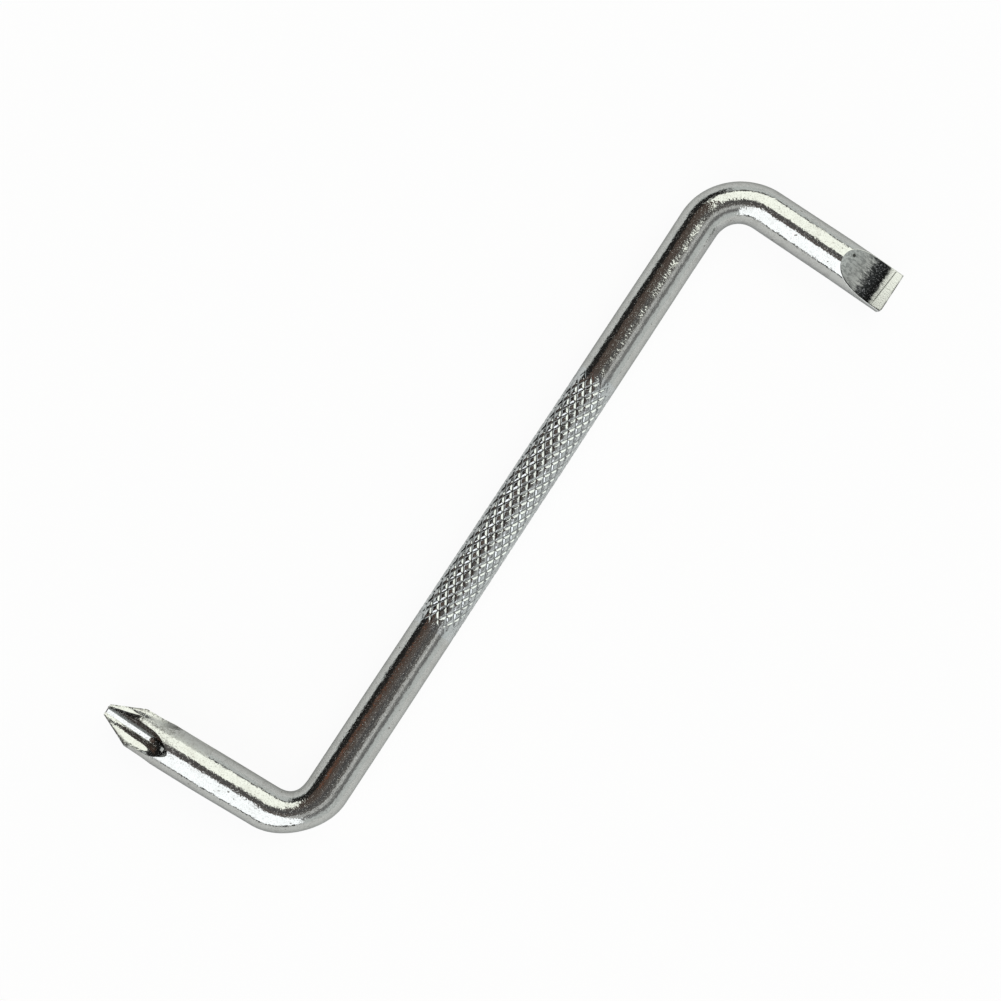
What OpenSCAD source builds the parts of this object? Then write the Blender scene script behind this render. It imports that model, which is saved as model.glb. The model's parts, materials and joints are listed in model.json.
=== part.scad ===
// Offset screwdriver: one bar of round steel bent into a flat Z. One arm ends in a hollow-ground
// slotted blade, the other in a fluted cross point, and the shank between them has a diamond knurl.
// Each sub-part is one stretch of the bar, cut square to its axis where one forming operation ends
// and the next starts, so neighbours meet face to face.
// Frame: X runs along the shank's axis towards the slotted arm, Z is square to the plane of the
// bends, and the origin is the middle of the knurled grip. Millimetres and degrees.

/* [Shank] */
// Diameter of the round shank
shank_d = 6; // [5.5:0.1:6.3]
// Distance along the shank from the grip's middle to the slotted arm's axis
slotted_reach = 54.7; // [45:0.1:75]
// Distance along the shank from the grip's middle to the cross point arm's axis
phillips_reach = 53.4; // [45:0.1:75]

/* [Knurled grip] */
// Length of the knurled stretch
grip_len = 42.4; // [20:0.1:60]
// Number of helical grooves each way round the bar
knurl_starts = 14; // [10:1:18]
// Length of one diamond along the bar
knurl_pitch = 2.05; // [1.6:0.01:3]
// Depth of the grooves below the shank's surface
knurl_depth = 0.3; // [0.15:0.05:0.4]
// Width of the flat on top of each diamond, as a share of the diamond
knurl_flat_share = 0.36; // [0.2:0.02:0.6]
// Length over which the grooves run out at each end of the grip
knurl_fade_len = 2.6; // [1:0.1:5]
// Turn of the pattern about the bar
knurl_clock = 0; // [0:1:25]

/* [Bends] */
// Angle that the bar turns through to the slotted arm
slotted_turn = 90.4; // [80:0.1:100]
// Radius of the bar's centre line in the slotted arm's bend
slotted_bend_r = 7; // [6:0.1:9]
// Loss of width half way round the slotted arm's bend
slotted_thinning = 0.15; // [0:0.05:0.6]
// Angle that the bar turns through to the cross point arm
phillips_turn = 87.7; // [80:0.1:100]
// Radius of the bar's centre line in the cross point arm's bend
phillips_bend_r = 6.5; // [6:0.1:9]
// Loss of width half way round the cross point arm's bend
phillips_thinning = 0.6; // [0:0.05:0.7]

/* [Arms] */
// Diameter of the two round arms
arm_d = 6.4; // [6.3:0.1:7]
// Length of the slotted arm from the shank's axis to the blade's end
slotted_len = 28.2; // [25:0.1:40]
// Length of the cross point arm from the shank's axis to its end
phillips_len = 31.3; // [28:0.1:45]

/* [Slotted blade] */
// Length of the ground stretch at the end of the arm
blade_len = 8.8; // [7:0.05:11]
// Length of the flat stretch next to the blade's end
blade_flat_len = 1.45; // [1.2:0.05:3]
// Thickness of the blade at its end
blade_thickness = 1.2; // [0.6:0.05:1.6]
// Width of the blade at its end
blade_w = 6.5; // [6.2:0.05:6.8]
// Radius of the grinding wheel that hollows both faces
wheel_r = 13; // [11:0.5:40]
// Size of the worn corner at the blade's end
blade_corner = 0.45; // [0.1:0.05:0.65]
// Turn of the blade about the arm, its upper face towards the grip
blade_clock = 3.5; // [-8:0.5:8]

/* [Cross point] */
// Length of the stretch that is turned down to the point
point_len = 15.4; // [13:0.1:20]
// Diameter of that stretch where the cone starts
point_d = 6.3; // [6:0.1:6.3]
// Length of the cone
cone_len = 4.6; // [3:0.05:6]
// Diameter of the blunt end
blunt_d = 1.8; // [1.6:0.1:2.4]
// Length of each flute from the blunt end to where it runs out
flute_len = 10.3; // [9:0.1:11]
// Angle between the two faces of a flute
flute_angle = 92; // [85:1:95]
// Slope of a flute's bottom to the bar's axis
flute_slope = 5; // [3:0.5:5.5]
// Distance from the bar's axis to the bottom of a flute where the cutter lifts out
core_r_back = 1.05; // [0.95:0.05:1.2]
// Width of the flat bottom of a flute
flute_bottom_w = 0.6; // [0.4:0.05:0.65]
// Radius of the milling cutter that makes the flutes
cutter_r = 4.5; // [3.5:0.5:6]
// Turn of the flutes about the arm, from square to the plane of the bends
flute_clock = 74; // [0:1:89]

/* [Hidden] */

// Overrun of every cut past the surface that it leaves
overrun = 0.5;
// Facets of a round surface, sides of the bent bar and rings along each bend
$fn = 96;
bend_sides = 40;
bend_rings = 24;
flutes = 4;

plating = [0.80, 0.81, 0.82];
knurl_grey = [0.62, 0.63, 0.64];
ground_steel = [0.70, 0.71, 0.70];

shank_r = shank_d / 2;
arm_r = arm_d / 2;

// Distance from a corner of the centre line to either end of its bend
slotted_tangent = slotted_bend_r * tan(slotted_turn / 2);
phillips_tangent = phillips_bend_r * tan(phillips_turn / 2);

// Puts children, built up the Z axis from the corner, on the arm that leaves a bend
module on_arm(turn) {
    rotate([0, 0, -turn]) rotate([0, 90, 0]) children();
}

module at_slotted_corner() {
    translate([slotted_reach, 0, 0]) children();
}

module at_phillips_corner() {
    rotate([0, 0, 180]) translate([phillips_reach, 0, 0]) children();
}

// Outline of the bent bar at one angle of a bend that starts at its tangent point and heads along X
function bend_ring(angle, turn, radius, thinning) =
    let (share = angle / turn,
        height = shank_d + (arm_d - shank_d) * share,
        width = height - thinning * pow(sin(180 * share), 2))
    [for (i = [0 : bend_sides - 1])
        let (t = 360 * i / bend_sides,
            from_centre = radius + width / 2 * cos(t))
        [from_centre * sin(angle), from_centre * cos(angle) - radius, height / 2 * sin(t)]];

// The bar through one bend, from the shank's diameter to the arm's and drawn thinner on the way
module bent_bar(turn, radius, thinning) {
    rings = [for (k = [0 : bend_rings]) bend_ring(turn * k / bend_rings, turn, radius, thinning)];
    points = [for (ring = rings) for (p = ring) p];
    first_cap = [for (i = [0 : bend_sides - 1]) i];
    last_cap = [for (i = [bend_sides - 1 : -1 : 0]) bend_rings * bend_sides + i];
    walls = [for (k = [0 : bend_rings - 1]) for (i = [0 : bend_sides - 1])
        let (a = k * bend_sides + i,
            b = k * bend_sides + (i + 1) % bend_sides)
        [a, a + bend_sides, b + bend_sides, b]];
    polyhedron(points = points, faces = concat([first_cap], walls, [last_cap]), convexity = 4);
}

module slotted_bend() {
    color(plating) at_slotted_corner() translate([-slotted_tangent, 0, 0])
        bent_bar(slotted_turn, slotted_bend_r, slotted_thinning);
}

module phillips_bend() {
    color(plating) at_phillips_corner() translate([-phillips_tangent, 0, 0])
        bent_bar(phillips_turn, phillips_bend_r, phillips_thinning);
}

// Plain stretches of the shank, from the grip to the start of each bend
module plain_shank(reach, tangent) {
    translate([grip_len / 2, 0, 0]) rotate([0, 90, 0])
        cylinder(r = shank_r, h = reach - tangent - grip_len / 2);
}

module slotted_shank() {
    color(plating) plain_shank(slotted_reach, slotted_tangent);
}

module phillips_shank() {
    color(plating) rotate([0, 0, 180]) plain_shank(phillips_reach, phillips_tangent);
}

// Round stretch of an arm, from the end of its bend to its shaped end
module plain_arm(turn, tangent, end) {
    on_arm(turn) translate([0, 0, tangent]) cylinder(r = arm_r, h = end - tangent);
}

module slotted_arm() {
    color(plating) at_slotted_corner() plain_arm(slotted_turn, slotted_tangent, slotted_len - blade_len);
}

module phillips_arm() {
    color(plating) at_phillips_corner()
        plain_arm(phillips_turn, phillips_tangent, phillips_len - point_len);
}

// Hollow-ground blade. The bar spreads a little towards the end. The wheel runs out on top of the
// bar at one end of its arc and leaves the blade's thickness at the other, and its centre lies
// above the chord between the two.
blade_half_w = blade_w / 2;
block_half_w = max(arm_r, blade_half_w) + overrun;
hollow_len = blade_len - blade_flat_len;
hollow_fall = arm_r - blade_thickness / 2;
hollow_chord = norm([hollow_len, hollow_fall]);
wheel_rise = sqrt(pow(wheel_r, 2) - pow(hollow_chord / 2, 2));
wheel_along = hollow_len / 2 + wheel_rise * hollow_fall / hollow_chord;
wheel_above = (arm_r + blade_thickness / 2) / 2 + wheel_rise * hollow_len / hollow_chord;

module grinding_wheel() {
    translate([wheel_above, 0, wheel_along]) rotate([90, 0, 0])
        cylinder(r = wheel_r, h = 2 * (block_half_w + overrun), center = true);
}

// Both faces are ground, so the stretch is what two wheels leave of a block wider than the bar
module hollow_stretch() {
    difference() {
        translate([-block_half_w, -block_half_w, 0])
            cube([2 * block_half_w, 2 * block_half_w, hollow_len]);
        grinding_wheel();
        mirror([1, 0, 0]) grinding_wheel();
    }
}

// Flat stretch next to the end, with the corner on the grip's side worn off at 45 degrees
worn_rise = blade_flat_len - blade_corner + blade_half_w;
module flat_stretch() {
    rotate([90, 0, 90]) linear_extrude(height = blade_thickness, center = true)
        polygon([[-block_half_w, 0], [block_half_w, 0], [block_half_w, blade_flat_len],
            [blade_flat_len - worn_rise, blade_flat_len], [-block_half_w, worn_rise - block_half_w]]);
}

module slotted_blade() {
    color(ground_steel) at_slotted_corner() on_arm(slotted_turn)
        translate([0, 0, slotted_len - blade_len]) rotate([0, 0, blade_clock]) intersection() {
            cylinder(r1 = arm_r, r2 = blade_half_w, h = blade_len);
            union() {
                hollow_stretch();
                translate([0, 0, hollow_len]) flat_stretch();
            }
        }
}

// Cross point. A flute's flat bottom climbs in a straight line from the blunt end to where the
// cutter lifts out, and the cutter's own radius makes the rest of it.
lift_depth = point_d / 2 - core_r_back;
lift_len = sqrt(pow(cutter_r, 2) - pow(cutter_r * cos(flute_slope) - lift_depth, 2))
    - cutter_r * sin(flute_slope);
flute_straight = flute_len - lift_len;
// Height of the cutter's edge, enough to clear the bar from the bottom of a flute
edge_h = arm_r;
bottom_half_w = flute_bottom_w / 2;
edge_half_w = bottom_half_w + edge_h * tan(flute_angle / 2);

module cutter() {
    translate([cutter_r, 0, 0]) rotate([90, 0, 0]) rotate_extrude()
        polygon([[cutter_r, -bottom_half_w], [cutter_r, bottom_half_w],
            [cutter_r - edge_h, edge_half_w], [cutter_r - edge_h, -edge_half_w]]);
}

module flute() {
    translate([core_r_back, 0, phillips_len - flute_straight]) rotate([0, -flute_slope, 0]) {
        linear_extrude(height = flute_straight + 2 * overrun)
            polygon([[0, -bottom_half_w], [edge_h, -edge_half_w], [edge_h, edge_half_w],
                [0, bottom_half_w]]);
        cutter();
    }
}

module phillips_tip() {
    color(plating) at_phillips_corner() on_arm(phillips_turn) difference() {
        rotate_extrude() polygon([[0, phillips_len - point_len], [arm_r, phillips_len - point_len],
            [point_d / 2, phillips_len - cone_len], [blunt_d / 2, phillips_len], [0, phillips_len]]);
        for (i = [0 : flutes - 1]) rotate([0, 0, flute_clock + 360 * i / flutes]) flute();
    }
}

// Knurled grip. Rings of points lie half a diamond apart, and in each ring groove crossings and
// diamonds take turns, so two sets of helical grooves leave a field of flat-topped diamonds.
knurl_cols = 2 * knurl_starts;
knurl_rings = 2 * round(grip_len / knurl_pitch);
ring_step = grip_len / knurl_rings;
col_step = 360 / knurl_cols;

// Share of the full groove depth at one ring, from nothing at the grip's ends
function depth_share(k) = min(1, min(k, knurl_rings - k) * ring_step / knurl_fade_len);
function top_share(k) = 1 - (1 - knurl_flat_share) * depth_share(k);
function knurl_point(k, col, radius) =
    let (angle = col * col_step + knurl_clock)
    [k * ring_step - grip_len / 2, radius * cos(angle), radius * sin(angle)];

// Places of the groove crossings, of the single points in the end rings and of the diamonds' tops
function crossing_at(k, col) = k * knurl_starts + floor(((col + knurl_cols) % knurl_cols) / 2);
crossing_count = (knurl_rings + 1) * knurl_starts;
function end_point_at(last, j) = crossing_count + (last ? knurl_starts : 0) + j;
function top_at(k, j) = crossing_count + 2 * knurl_starts + 4 * ((k - 1) * knurl_starts + j);

function knurl_points() = concat(
    [for (k = [0 : knurl_rings]) for (j = [0 : knurl_starts - 1])
        knurl_point(k, 2 * j + k % 2, shank_r - knurl_depth * depth_share(k))],
    [for (k = [0, knurl_rings]) for (j = [0 : knurl_starts - 1])
        knurl_point(k, 2 * j + (k + 1) % 2, shank_r)],
    [for (k = [1 : knurl_rings - 1]) for (j = [0 : knurl_starts - 1])
        let (col = 2 * j + (k + 1) % 2,
            reach = top_share(k))
        for (corner = [[0, -reach], [reach, 0], [0, reach], [-reach, 0]])
            knurl_point(k + corner[0], col + corner[1], shank_r)]);

// A diamond is its flat top and four slopes down to the crossings round it
function diamond_faces(k, j) =
    let (col = 2 * j + (k + 1) % 2,
        top = top_at(k, j),
        rim = [crossing_at(k, col - 1), crossing_at(k + 1, col),
            crossing_at(k, col + 1), crossing_at(k - 1, col)])
    concat([[top, top + 2, top + 3], [top, top + 1, top + 2]],
        [for (i = [0 : 3]) let (next = (i + 1) % 4) [top + i, rim[next], top + next]],
        [for (i = [0 : 3]) let (next = (i + 1) % 4) [top + i, rim[i], rim[next]]]);

function first_end_faces(j) =
    let (col = 2 * j + 1,
        peak = end_point_at(false, j),
        inner = crossing_at(1, col))
    [[peak, crossing_at(0, col - 1), inner], [peak, inner, crossing_at(0, col + 1)]];

function last_end_faces(j) =
    let (col = 2 * j + 1,
        peak = end_point_at(true, j),
        inner = crossing_at(knurl_rings - 1, col))
    [[peak, inner, crossing_at(knurl_rings, col - 1)], [peak, crossing_at(knurl_rings, col + 1), inner]];

module knurled_grip() {
    first_cap = [for (j = [0 : knurl_starts - 1])
        for (p = [crossing_at(0, 2 * j), end_point_at(false, j)]) p];
    last_cap = [for (j = [knurl_starts - 1 : -1 : 0])
        for (p = [end_point_at(true, j), crossing_at(knurl_rings, 2 * j)]) p];
    diamonds = [for (k = [1 : knurl_rings - 1]) for (j = [0 : knurl_starts - 1])
        for (f = diamond_faces(k, j)) f];
    ends = [for (j = [0 : knurl_starts - 1]) for (f = concat(first_end_faces(j), last_end_faces(j))) f];
    color(knurl_grey)
        polyhedron(points = knurl_points(), faces = concat([first_cap, last_cap], diamonds, ends),
            convexity = 6);
}

slotted_blade();
slotted_arm();
slotted_bend();
slotted_shank();
knurled_grip();
phillips_shank();
phillips_bend();
phillips_arm();
phillips_tip();
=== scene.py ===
import json
import math

import bpy
import numpy as np
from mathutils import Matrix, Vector


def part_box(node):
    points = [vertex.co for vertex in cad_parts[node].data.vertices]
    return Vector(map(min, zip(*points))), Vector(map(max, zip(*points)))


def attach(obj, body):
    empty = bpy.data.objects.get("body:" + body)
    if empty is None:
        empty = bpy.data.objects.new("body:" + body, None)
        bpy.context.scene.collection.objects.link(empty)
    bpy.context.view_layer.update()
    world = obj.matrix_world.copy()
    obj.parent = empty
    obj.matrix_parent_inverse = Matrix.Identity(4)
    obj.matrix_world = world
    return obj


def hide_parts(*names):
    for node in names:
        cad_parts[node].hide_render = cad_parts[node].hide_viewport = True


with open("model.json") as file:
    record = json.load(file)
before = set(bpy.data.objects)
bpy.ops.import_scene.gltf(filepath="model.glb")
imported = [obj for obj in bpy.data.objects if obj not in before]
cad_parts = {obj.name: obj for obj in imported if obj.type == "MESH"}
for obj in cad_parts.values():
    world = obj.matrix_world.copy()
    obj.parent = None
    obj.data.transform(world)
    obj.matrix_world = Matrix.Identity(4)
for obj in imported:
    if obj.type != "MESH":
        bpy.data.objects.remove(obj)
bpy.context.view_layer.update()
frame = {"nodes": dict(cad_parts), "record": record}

# The whole tool is one bar of plated steel. Every piece here is one stretch of it, built on the
# same centre line, so that neighbours meet with the same section. Lengths are metres.
MM = 0.001
# A length too small to matter, and the distance below which two rings count as one
TINY = 1e-7
REPEAT_GAP = 1e-9

# Camera: its place over the grip, its turn about X, Y and Z in degrees, its focal length in pixels,
# the width of its sensor in millimetres, and how near and how far it sees
CAMERA_PLACE = (-41.305 * MM, 0.085 * MM, 350.01 * MM)
CAMERA_TURN = (5.713, -3.365, -56.883)
FOCAL_PIXELS = 2533.6
FRAME_PIXELS = 1001
SENSOR = 36.0
SIGHT_RANGE = (0.01, 50.0)

# Spacing of the rings along straight stretches and bends, in the blade's hollow and along the cone,
# and on the blade's flat and along the flutes
STRAIGHT_STEP = 0.5 * MM
BEND_STEP = 0.2 * MM
HOLLOW_STEP = 0.1 * MM
FLAT_STEP = 0.12 * MM
# Points round a ring of the plain bar
ROUND_SIDES = 192

# Loss of width half way round each bend
SLOTTED_THINNING = 0.15 * MM
PHILLIPS_THINNING = 0.6 * MM

# Width of the bar in the plane of the bends, as a share of its round section, by distance from the
# grip's middle towards the slotted end in millimetres
WIDTH_SHARES = [
    (-70, 1.0), (-64, 1.0), (-58, 0.989), (-53, 0.995), (-47, 1.018), (-32, 1.018), (-24, 1.009),
    (-12, 1.006), (0, 1.0), (8, 1.003), (14, 0.991), (30, 0.990), (41, 0.979), (50, 0.998),
    (56, 0.968), (60, 0.978), (66, 0.990), (71, 1.0),
]

# Lean of the surface about the bar's axis where the section isn't quite round, in radians, by the
# same distance, and how closely it gathers along the top and the underside
LEANS = [(47, 0.0), (54, 0.07), (60, 0.07), (71, 0.06)]
LEAN_POWER = 8

# Blade, as ground
BLADE_THICKNESS = 1.2 * MM
BLADE_WIDTH = 6.42 * MM
BLADE_FLAT = 1.45 * MM
WHEEL_RADIUS = 13.0 * MM
WORN_CORNER = 0.45 * MM
# Rounding of the blade's edges, its rings at the end, and its limit as a share of half a narrow flat
BLADE_EDGE_ROUND = 0.07 * MM
BLADE_EDGE_RINGS = 3
NARROW_ROUND_SHARE = 0.4
# How far the blade's end has gone over towards the grip's side
BLADE_LEAN = 0.15 * MM
# Slope of the line where the flat stretch starts, across the blade, and how far along the blade the
# slope reaches to either side of that line
FLAT_SKEW = 0.08
FLAT_SKEW_REACH = 1.2 * MM
# Turn of the ground faces about the arm, where the hollow starts and where the flat starts
BLADE_TURNS = (math.radians(3.5), 0.0)
# Stretch where the wheel enters, its number of rings, and how far short of the flat the last ring of
# the hollow lies
WHEEL_ENTRY = 0.8 * MM
WHEEL_ENTRY_RINGS = 12
HOLLOW_GAP = 0.05 * MM
# Points of the blade's outline along half a flat, along half a side and round a corner
SECTION_COUNTS = (28, 40, 5)
# Faces of the blade that meet at more than this angle have a sharp edge
BLADE_SHARP = math.radians(14)

# Cross point, as turned and milled
POINT_DIAMETER = 6.3 * MM
CONE_LENGTH = 4.6 * MM
BLUNT_DIAMETER = 1.8 * MM
FLUTES = 4
FLUTE_LENGTH = 10.3 * MM
FLUTE_HALF_ANGLE = math.radians(46)
FLUTE_SLOPE = math.radians(5)
CORE_BACK = 1.05 * MM
FLUTE_BOTTOM = 0.6 * MM
CUTTER_RADIUS = 4.5 * MM
# Turn of the first flute from straight up
FLUTE_TURN = math.radians(16)
# Rounding of the crests between the flutes: its size, how deep it eases a crest and how far it reaches
CREST_ROUND = 0.04 * MM
CREST_EASE = CREST_ROUND / 4
CREST_REACH = 4 * CREST_ROUND
# Rounding of the blunt end's rim, along the point and across it, and its rings as shares of its length
RIM_LENGTH = 0.2 * MM
RIM_DEPTH = 0.12 * MM
RIM_SHARES = (0.0, 0.15, 0.35, 0.6, 0.8, 1.0)
# How far past the flutes their finer rings go on
FLUTE_OVERRUN = 0.1 * MM
# Points from a flute's middle to its crest and over half a crest, and the least angle to a crest
WING_COUNTS = (40, 8)
LEAST_CREST_ANGLE = 1e-4
# Halvings that find the edge of a flute's cut
HALVINGS = 28
# Cutter marks along the flutes' flanks
FLANK_WAVE = 0.028 * MM
FLANK_WAVE_LENGTH = 0.9 * MM
# Wear of the crests: how far back from a crest it reaches, and between which places behind the blunt
# end it fades away
WEAR_REACH = 0.45 * MM
WEAR_FADE = (FLUTE_LENGTH + 1.5 * MM, FLUTE_LENGTH - 1.0 * MM)
# Dirty lip of the crests: the wear from which it counts as lip, and where it fades away
LIP_WEAR = 0.97
LIP_FADE = (CONE_LENGTH + 0.8 * MM, CONE_LENGTH + 0.3 * MM)
# The flute on the far side, whose end is dull, and the places between which it turns dull
DULL_FLUTE = 3
DULL_START = (5.0 * MM, 7.0 * MM)
# The point leans towards the grip's side over its last stretch, more and more
POINT_LEAN = 0.25 * MM
LEAN_LENGTH = 15.0 * MM
LEAN_CURVE = 1.5
# Faces of the point that meet at more than this angle have a sharp edge
POINT_SHARP = math.radians(18)

# Knurl: helical grooves each way, the length of a diamond and the shape of its groove
KNURL_STARTS = 14
KNURL_PITCH = 2.047 * MM
KNURL_DEPTH = 0.18 * MM
KNURL_FLAT_SHARE = 0.48
KNURL_TURN = math.radians(3.0)
KNURL_LENGTH_STEPS = 460
KNURL_ROUND_STEPS = 28 * KNURL_STARTS
# How round the grooves' walls are, from zero to one, and how sharply two crossing grooves join
WALL_ROUNDING = 0.35
CROSSING_POWER = 4
# Each wander of the grooves: its reach in diamonds, the length along the bar that turns it by a
# radian, its count round the bar and its start. The left-hand grooves follow a share of it.
KNURL_WANDERS = [(0.03, 5.3 * MM, 2, 0), (0.02, 2.9 * MM, -3, 1)]
LEFT_WANDER_SHARE = 0.6
# Change of the depth from place to place: its share and the length that turns it by a radian
DEPTH_CHANGE = (0.08, 3.7 * MM)
# Ragged ends of the knurl: the length over which the grooves fade; how far the ends wave and how late
# they start, as shares of it; the count round the bar and the share of each wave; a phase for each end
KNURL_FADE = 2.8 * MM
RAGGED_SHARE = 0.25
RAGGED_DELAY_SHARE = 0.1
RAGGED_WAVES = [(2, 0.35), (5, 0.25), (9, 0.22), (14, 0.18)]
RAGGED_PHASES = (1.3, 4.1)
# Length over which the grooves close up at the very ends
KNURL_CLOSING = 0.3 * MM


def mounts():
    """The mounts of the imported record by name, in metres."""
    return {mount["name"]: mount for mount in frame["record"]["mounts"]}


def flat_vector(values):
    return np.array(values[:2], float)


class Arm:
    """One arm of the bar: its corner on the shank's axis, its direction and where its stretches end."""

    def __init__(self, wall_name, end_name, sign):
        wall = mounts()[wall_name]
        end = flat_vector(mounts()[end_name]["pos_m"])
        self.sign = sign
        self.along = flat_vector(wall["axis"])
        self.side = np.array([-self.along[1], self.along[0]])
        self.length = end[1] / self.along[1]
        self.corner = np.array([end[0] - self.along[0] * self.length, 0.0])
        self.radius = wall["dims"]["r_mm"] * MM
        middle = (flat_vector(wall["pos_m"]) - self.corner) @ self.along
        half_wall = wall["dims"]["length_mm"] * MM / 2
        self.bend_end = middle - half_wall
        self.wall_end = middle + half_wall
        self.turn = math.acos(self.along @ np.array([sign, 0.0]))
        self.bend_radius = self.bend_end / math.tan(self.turn / 2)
        self.bend_start = abs(self.corner[0]) - self.bend_end
        # What a distance along the arm lacks of the same place's distance along the bar
        self.bar_shift = self.bend_start + self.bend_radius * self.turn - self.bend_end

    def place(self, along, across, up):
        """Points of the arm's own frame in the row frame."""
        flat = self.corner + np.multiply.outer(along, self.along) + np.multiply.outer(across, self.side)
        return np.concatenate([flat, np.asarray(up)[..., None]], axis=-1)


slotted = Arm("slotted_arm", "slotted_drive", 1)
phillips = Arm("phillips_arm", "cross_drive", -1)
shank_low, shank_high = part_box("slotted_shank")
SHANK_RADIUS = (shank_high.z - shank_low.z) / 2
GRIP_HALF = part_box("knurled_grip")[1].x
FLOOR_HEIGHT = min(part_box(name)[0].z for name in frame["nodes"])

# Places along the bar, from the grip's middle: the blade's end, the line where its flat starts, and
# where the dark band of the hollow, a dark reflection painted into its colour, starts and ends
BLADE_END = slotted.bar_shift + slotted.length
FLAT_START = BLADE_END - BLADE_FLAT
DARK_BAND_START = (BLADE_END - 5.15 * MM, BLADE_END - 3.95 * MM)
DARK_BAND_END = (BLADE_END - 1.85 * MM, BLADE_END - 2.35 * MM)
# A pit in the hollow: along the bar, across it and its reach
HOLLOW_PIT = (BLADE_END - 7.55 * MM, 1.1 * MM, 0.36 * MM)


def steps(start, end, step):
    """Places from start to end, both included, no further apart than the step."""
    count = max(2, math.ceil(abs(end - start) / step) + 1)
    return np.linspace(start, end, count)


def share_between(value, start, end):
    """How far a value has come from start to end, within zero and one. The end may be the lower."""
    return np.clip((value - start) / (end - start), 0, 1)


def by_distance(table, distance):
    """A value at a distance along the bar, from a table of millimetres and values."""
    places, values = zip(*table)
    return np.interp(distance / MM, places, values)


def arm_stations(arm, thinning):
    """Rows of place x, y, direction x, y, half width, half height and distance along the bar, with a
    name for each stretch, from the grip's end outwards."""
    outward = np.array([arm.sign, 0.0])
    rows = []
    names = []
    prefix = "slotted" if arm.sign > 0 else "phillips"
    for s in steps(GRIP_HALF, arm.bend_start, STRAIGHT_STEP):
        rows.append([*(outward * s), *outward, SHANK_RADIUS, SHANK_RADIUS, s])
        names.append(prefix + "_shank")
    towards = arm.along - outward * (arm.along @ outward)
    towards = towards / np.linalg.norm(towards)
    centre = outward * arm.bend_start + towards * arm.bend_radius
    for s in steps(0, arm.bend_radius * arm.turn, BEND_STEP):
        angle = s / arm.bend_radius
        share = angle / arm.turn
        spot = centre + arm.bend_radius * (outward * math.sin(angle) - towards * math.cos(angle))
        heading = outward * math.cos(angle) + towards * math.sin(angle)
        half_height = SHANK_RADIUS + (arm.radius - SHANK_RADIUS) * share
        half_width = half_height - thinning / 2 * math.sin(math.pi * share) ** 2
        rows.append([*spot, *heading, half_width, half_height, arm.bend_start + s])
        names.append(prefix + "_bend")
    for s in steps(arm.bend_end, arm.wall_end, STRAIGHT_STEP):
        spot = arm.corner + arm.along * s
        rows.append([*spot, *arm.along, arm.radius, arm.radius, arm.bar_shift + s])
        names.append(prefix + "_arm")
    rows = np.array(rows)
    rows[:, 4] *= by_distance(WIDTH_SHARES, arm.sign * rows[:, 6])
    return rows, names


def grid_faces(rings, sides):
    """Quads between rings of points, each ring closed."""
    faces = []
    for k in range(rings - 1):
        for i in range(sides):
            j = (i + 1) % sides
            faces.append((k * sides + i, k * sides + j, (k + 1) * sides + j, (k + 1) * sides + i))
    return faces


def grid_normals(rings):
    """Normals of a grid of closed rings, from the differences between neighbouring points."""
    round_step = np.roll(rings, -1, axis=1) - np.roll(rings, 1, axis=1)
    along_step = np.gradient(rings, axis=0)
    normals = np.cross(round_step, along_step)
    return normals / np.linalg.norm(normals, axis=2, keepdims=True)


def end_caps(rings, sides):
    """Faces that close the first and the last ring."""
    first = tuple(reversed(range(sides)))
    last = tuple(range((rings - 1) * sides, rings * sides))
    return [first, last]


def make_piece(node, rings, straight, material, normals=None, marks=None):
    """A closed mesh through a grid of rings, with flat ends, that stands for one CAD node. straight
    holds each point's place on the bar as it was before it was bent, and marks further values of each
    point by name. The materials read both."""
    count, sides = rings.shape[:2]
    walls = grid_faces(count, sides)
    caps = end_caps(count, sides)
    mesh = bpy.data.meshes.new(node + "_finish")
    mesh.from_pydata([tuple(p) for p in rings.reshape(-1, 3)], [], walls + caps)
    mesh.update()
    smooth = np.ones(len(mesh.polygons), bool)
    smooth[len(walls):] = False
    mesh.polygons.foreach_set("use_smooth", smooth)
    place = mesh.attributes.new("straight", "FLOAT_VECTOR", "POINT")
    place.data.foreach_set("vector", np.asarray(straight, np.float32).ravel())
    for name, values in (marks or {}).items():
        made = mesh.attributes.new(name, "FLOAT", "POINT")
        made.data.foreach_set("value", np.asarray(values, np.float32).ravel())
    cap_edges = set()
    for cap in caps:
        for a, b in zip(cap, cap[1:] + cap[:1]):
            cap_edges.add((min(a, b), max(a, b)))
    sharp = mesh.attributes.new("sharp_edge", "BOOLEAN", "EDGE")
    flags = np.array([tuple(sorted(e.vertices)) in cap_edges for e in mesh.edges], bool)
    sharp.data.foreach_set("value", flags)
    if normals is not None:
        loops = np.zeros(len(mesh.loops), np.int32)
        mesh.loops.foreach_get("vertex_index", loops)
        split = normals.reshape(-1, 3)[loops]
        for poly in list(mesh.polygons)[len(walls):]:
            split[list(poly.loop_indices)] = poly.normal
        mesh.normals_split_custom_set(split.tolist())
    mesh.materials.append(material)
    piece = bpy.data.objects.new(node + "_finish", mesh)
    bpy.context.scene.collection.objects.link(piece)
    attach(piece, "root")
    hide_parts(node)
    return piece


def mark_by_angle(piece, limit):
    """Marks the edges between faces that meet at more than the limit as sharp."""
    mesh = piece.data
    flags = np.zeros(len(mesh.edges), bool)
    mesh.attributes["sharp_edge"].data.foreach_get("value", flags)
    normals = np.zeros(len(mesh.polygons) * 3)
    mesh.polygons.foreach_get("normal", normals)
    normals = normals.reshape(-1, 3)
    faces_of = {}
    for poly in mesh.polygons:
        for key in poly.edge_keys:
            faces_of.setdefault(key, []).append(poly.index)
    for edge in mesh.edges:
        pair = faces_of.get(edge.key, [])
        if len(pair) == 2 and normals[pair[0]] @ normals[pair[1]] < math.cos(limit):
            flags[edge.index] = True
    mesh.attributes["sharp_edge"].data.foreach_set("value", flags)


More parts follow.
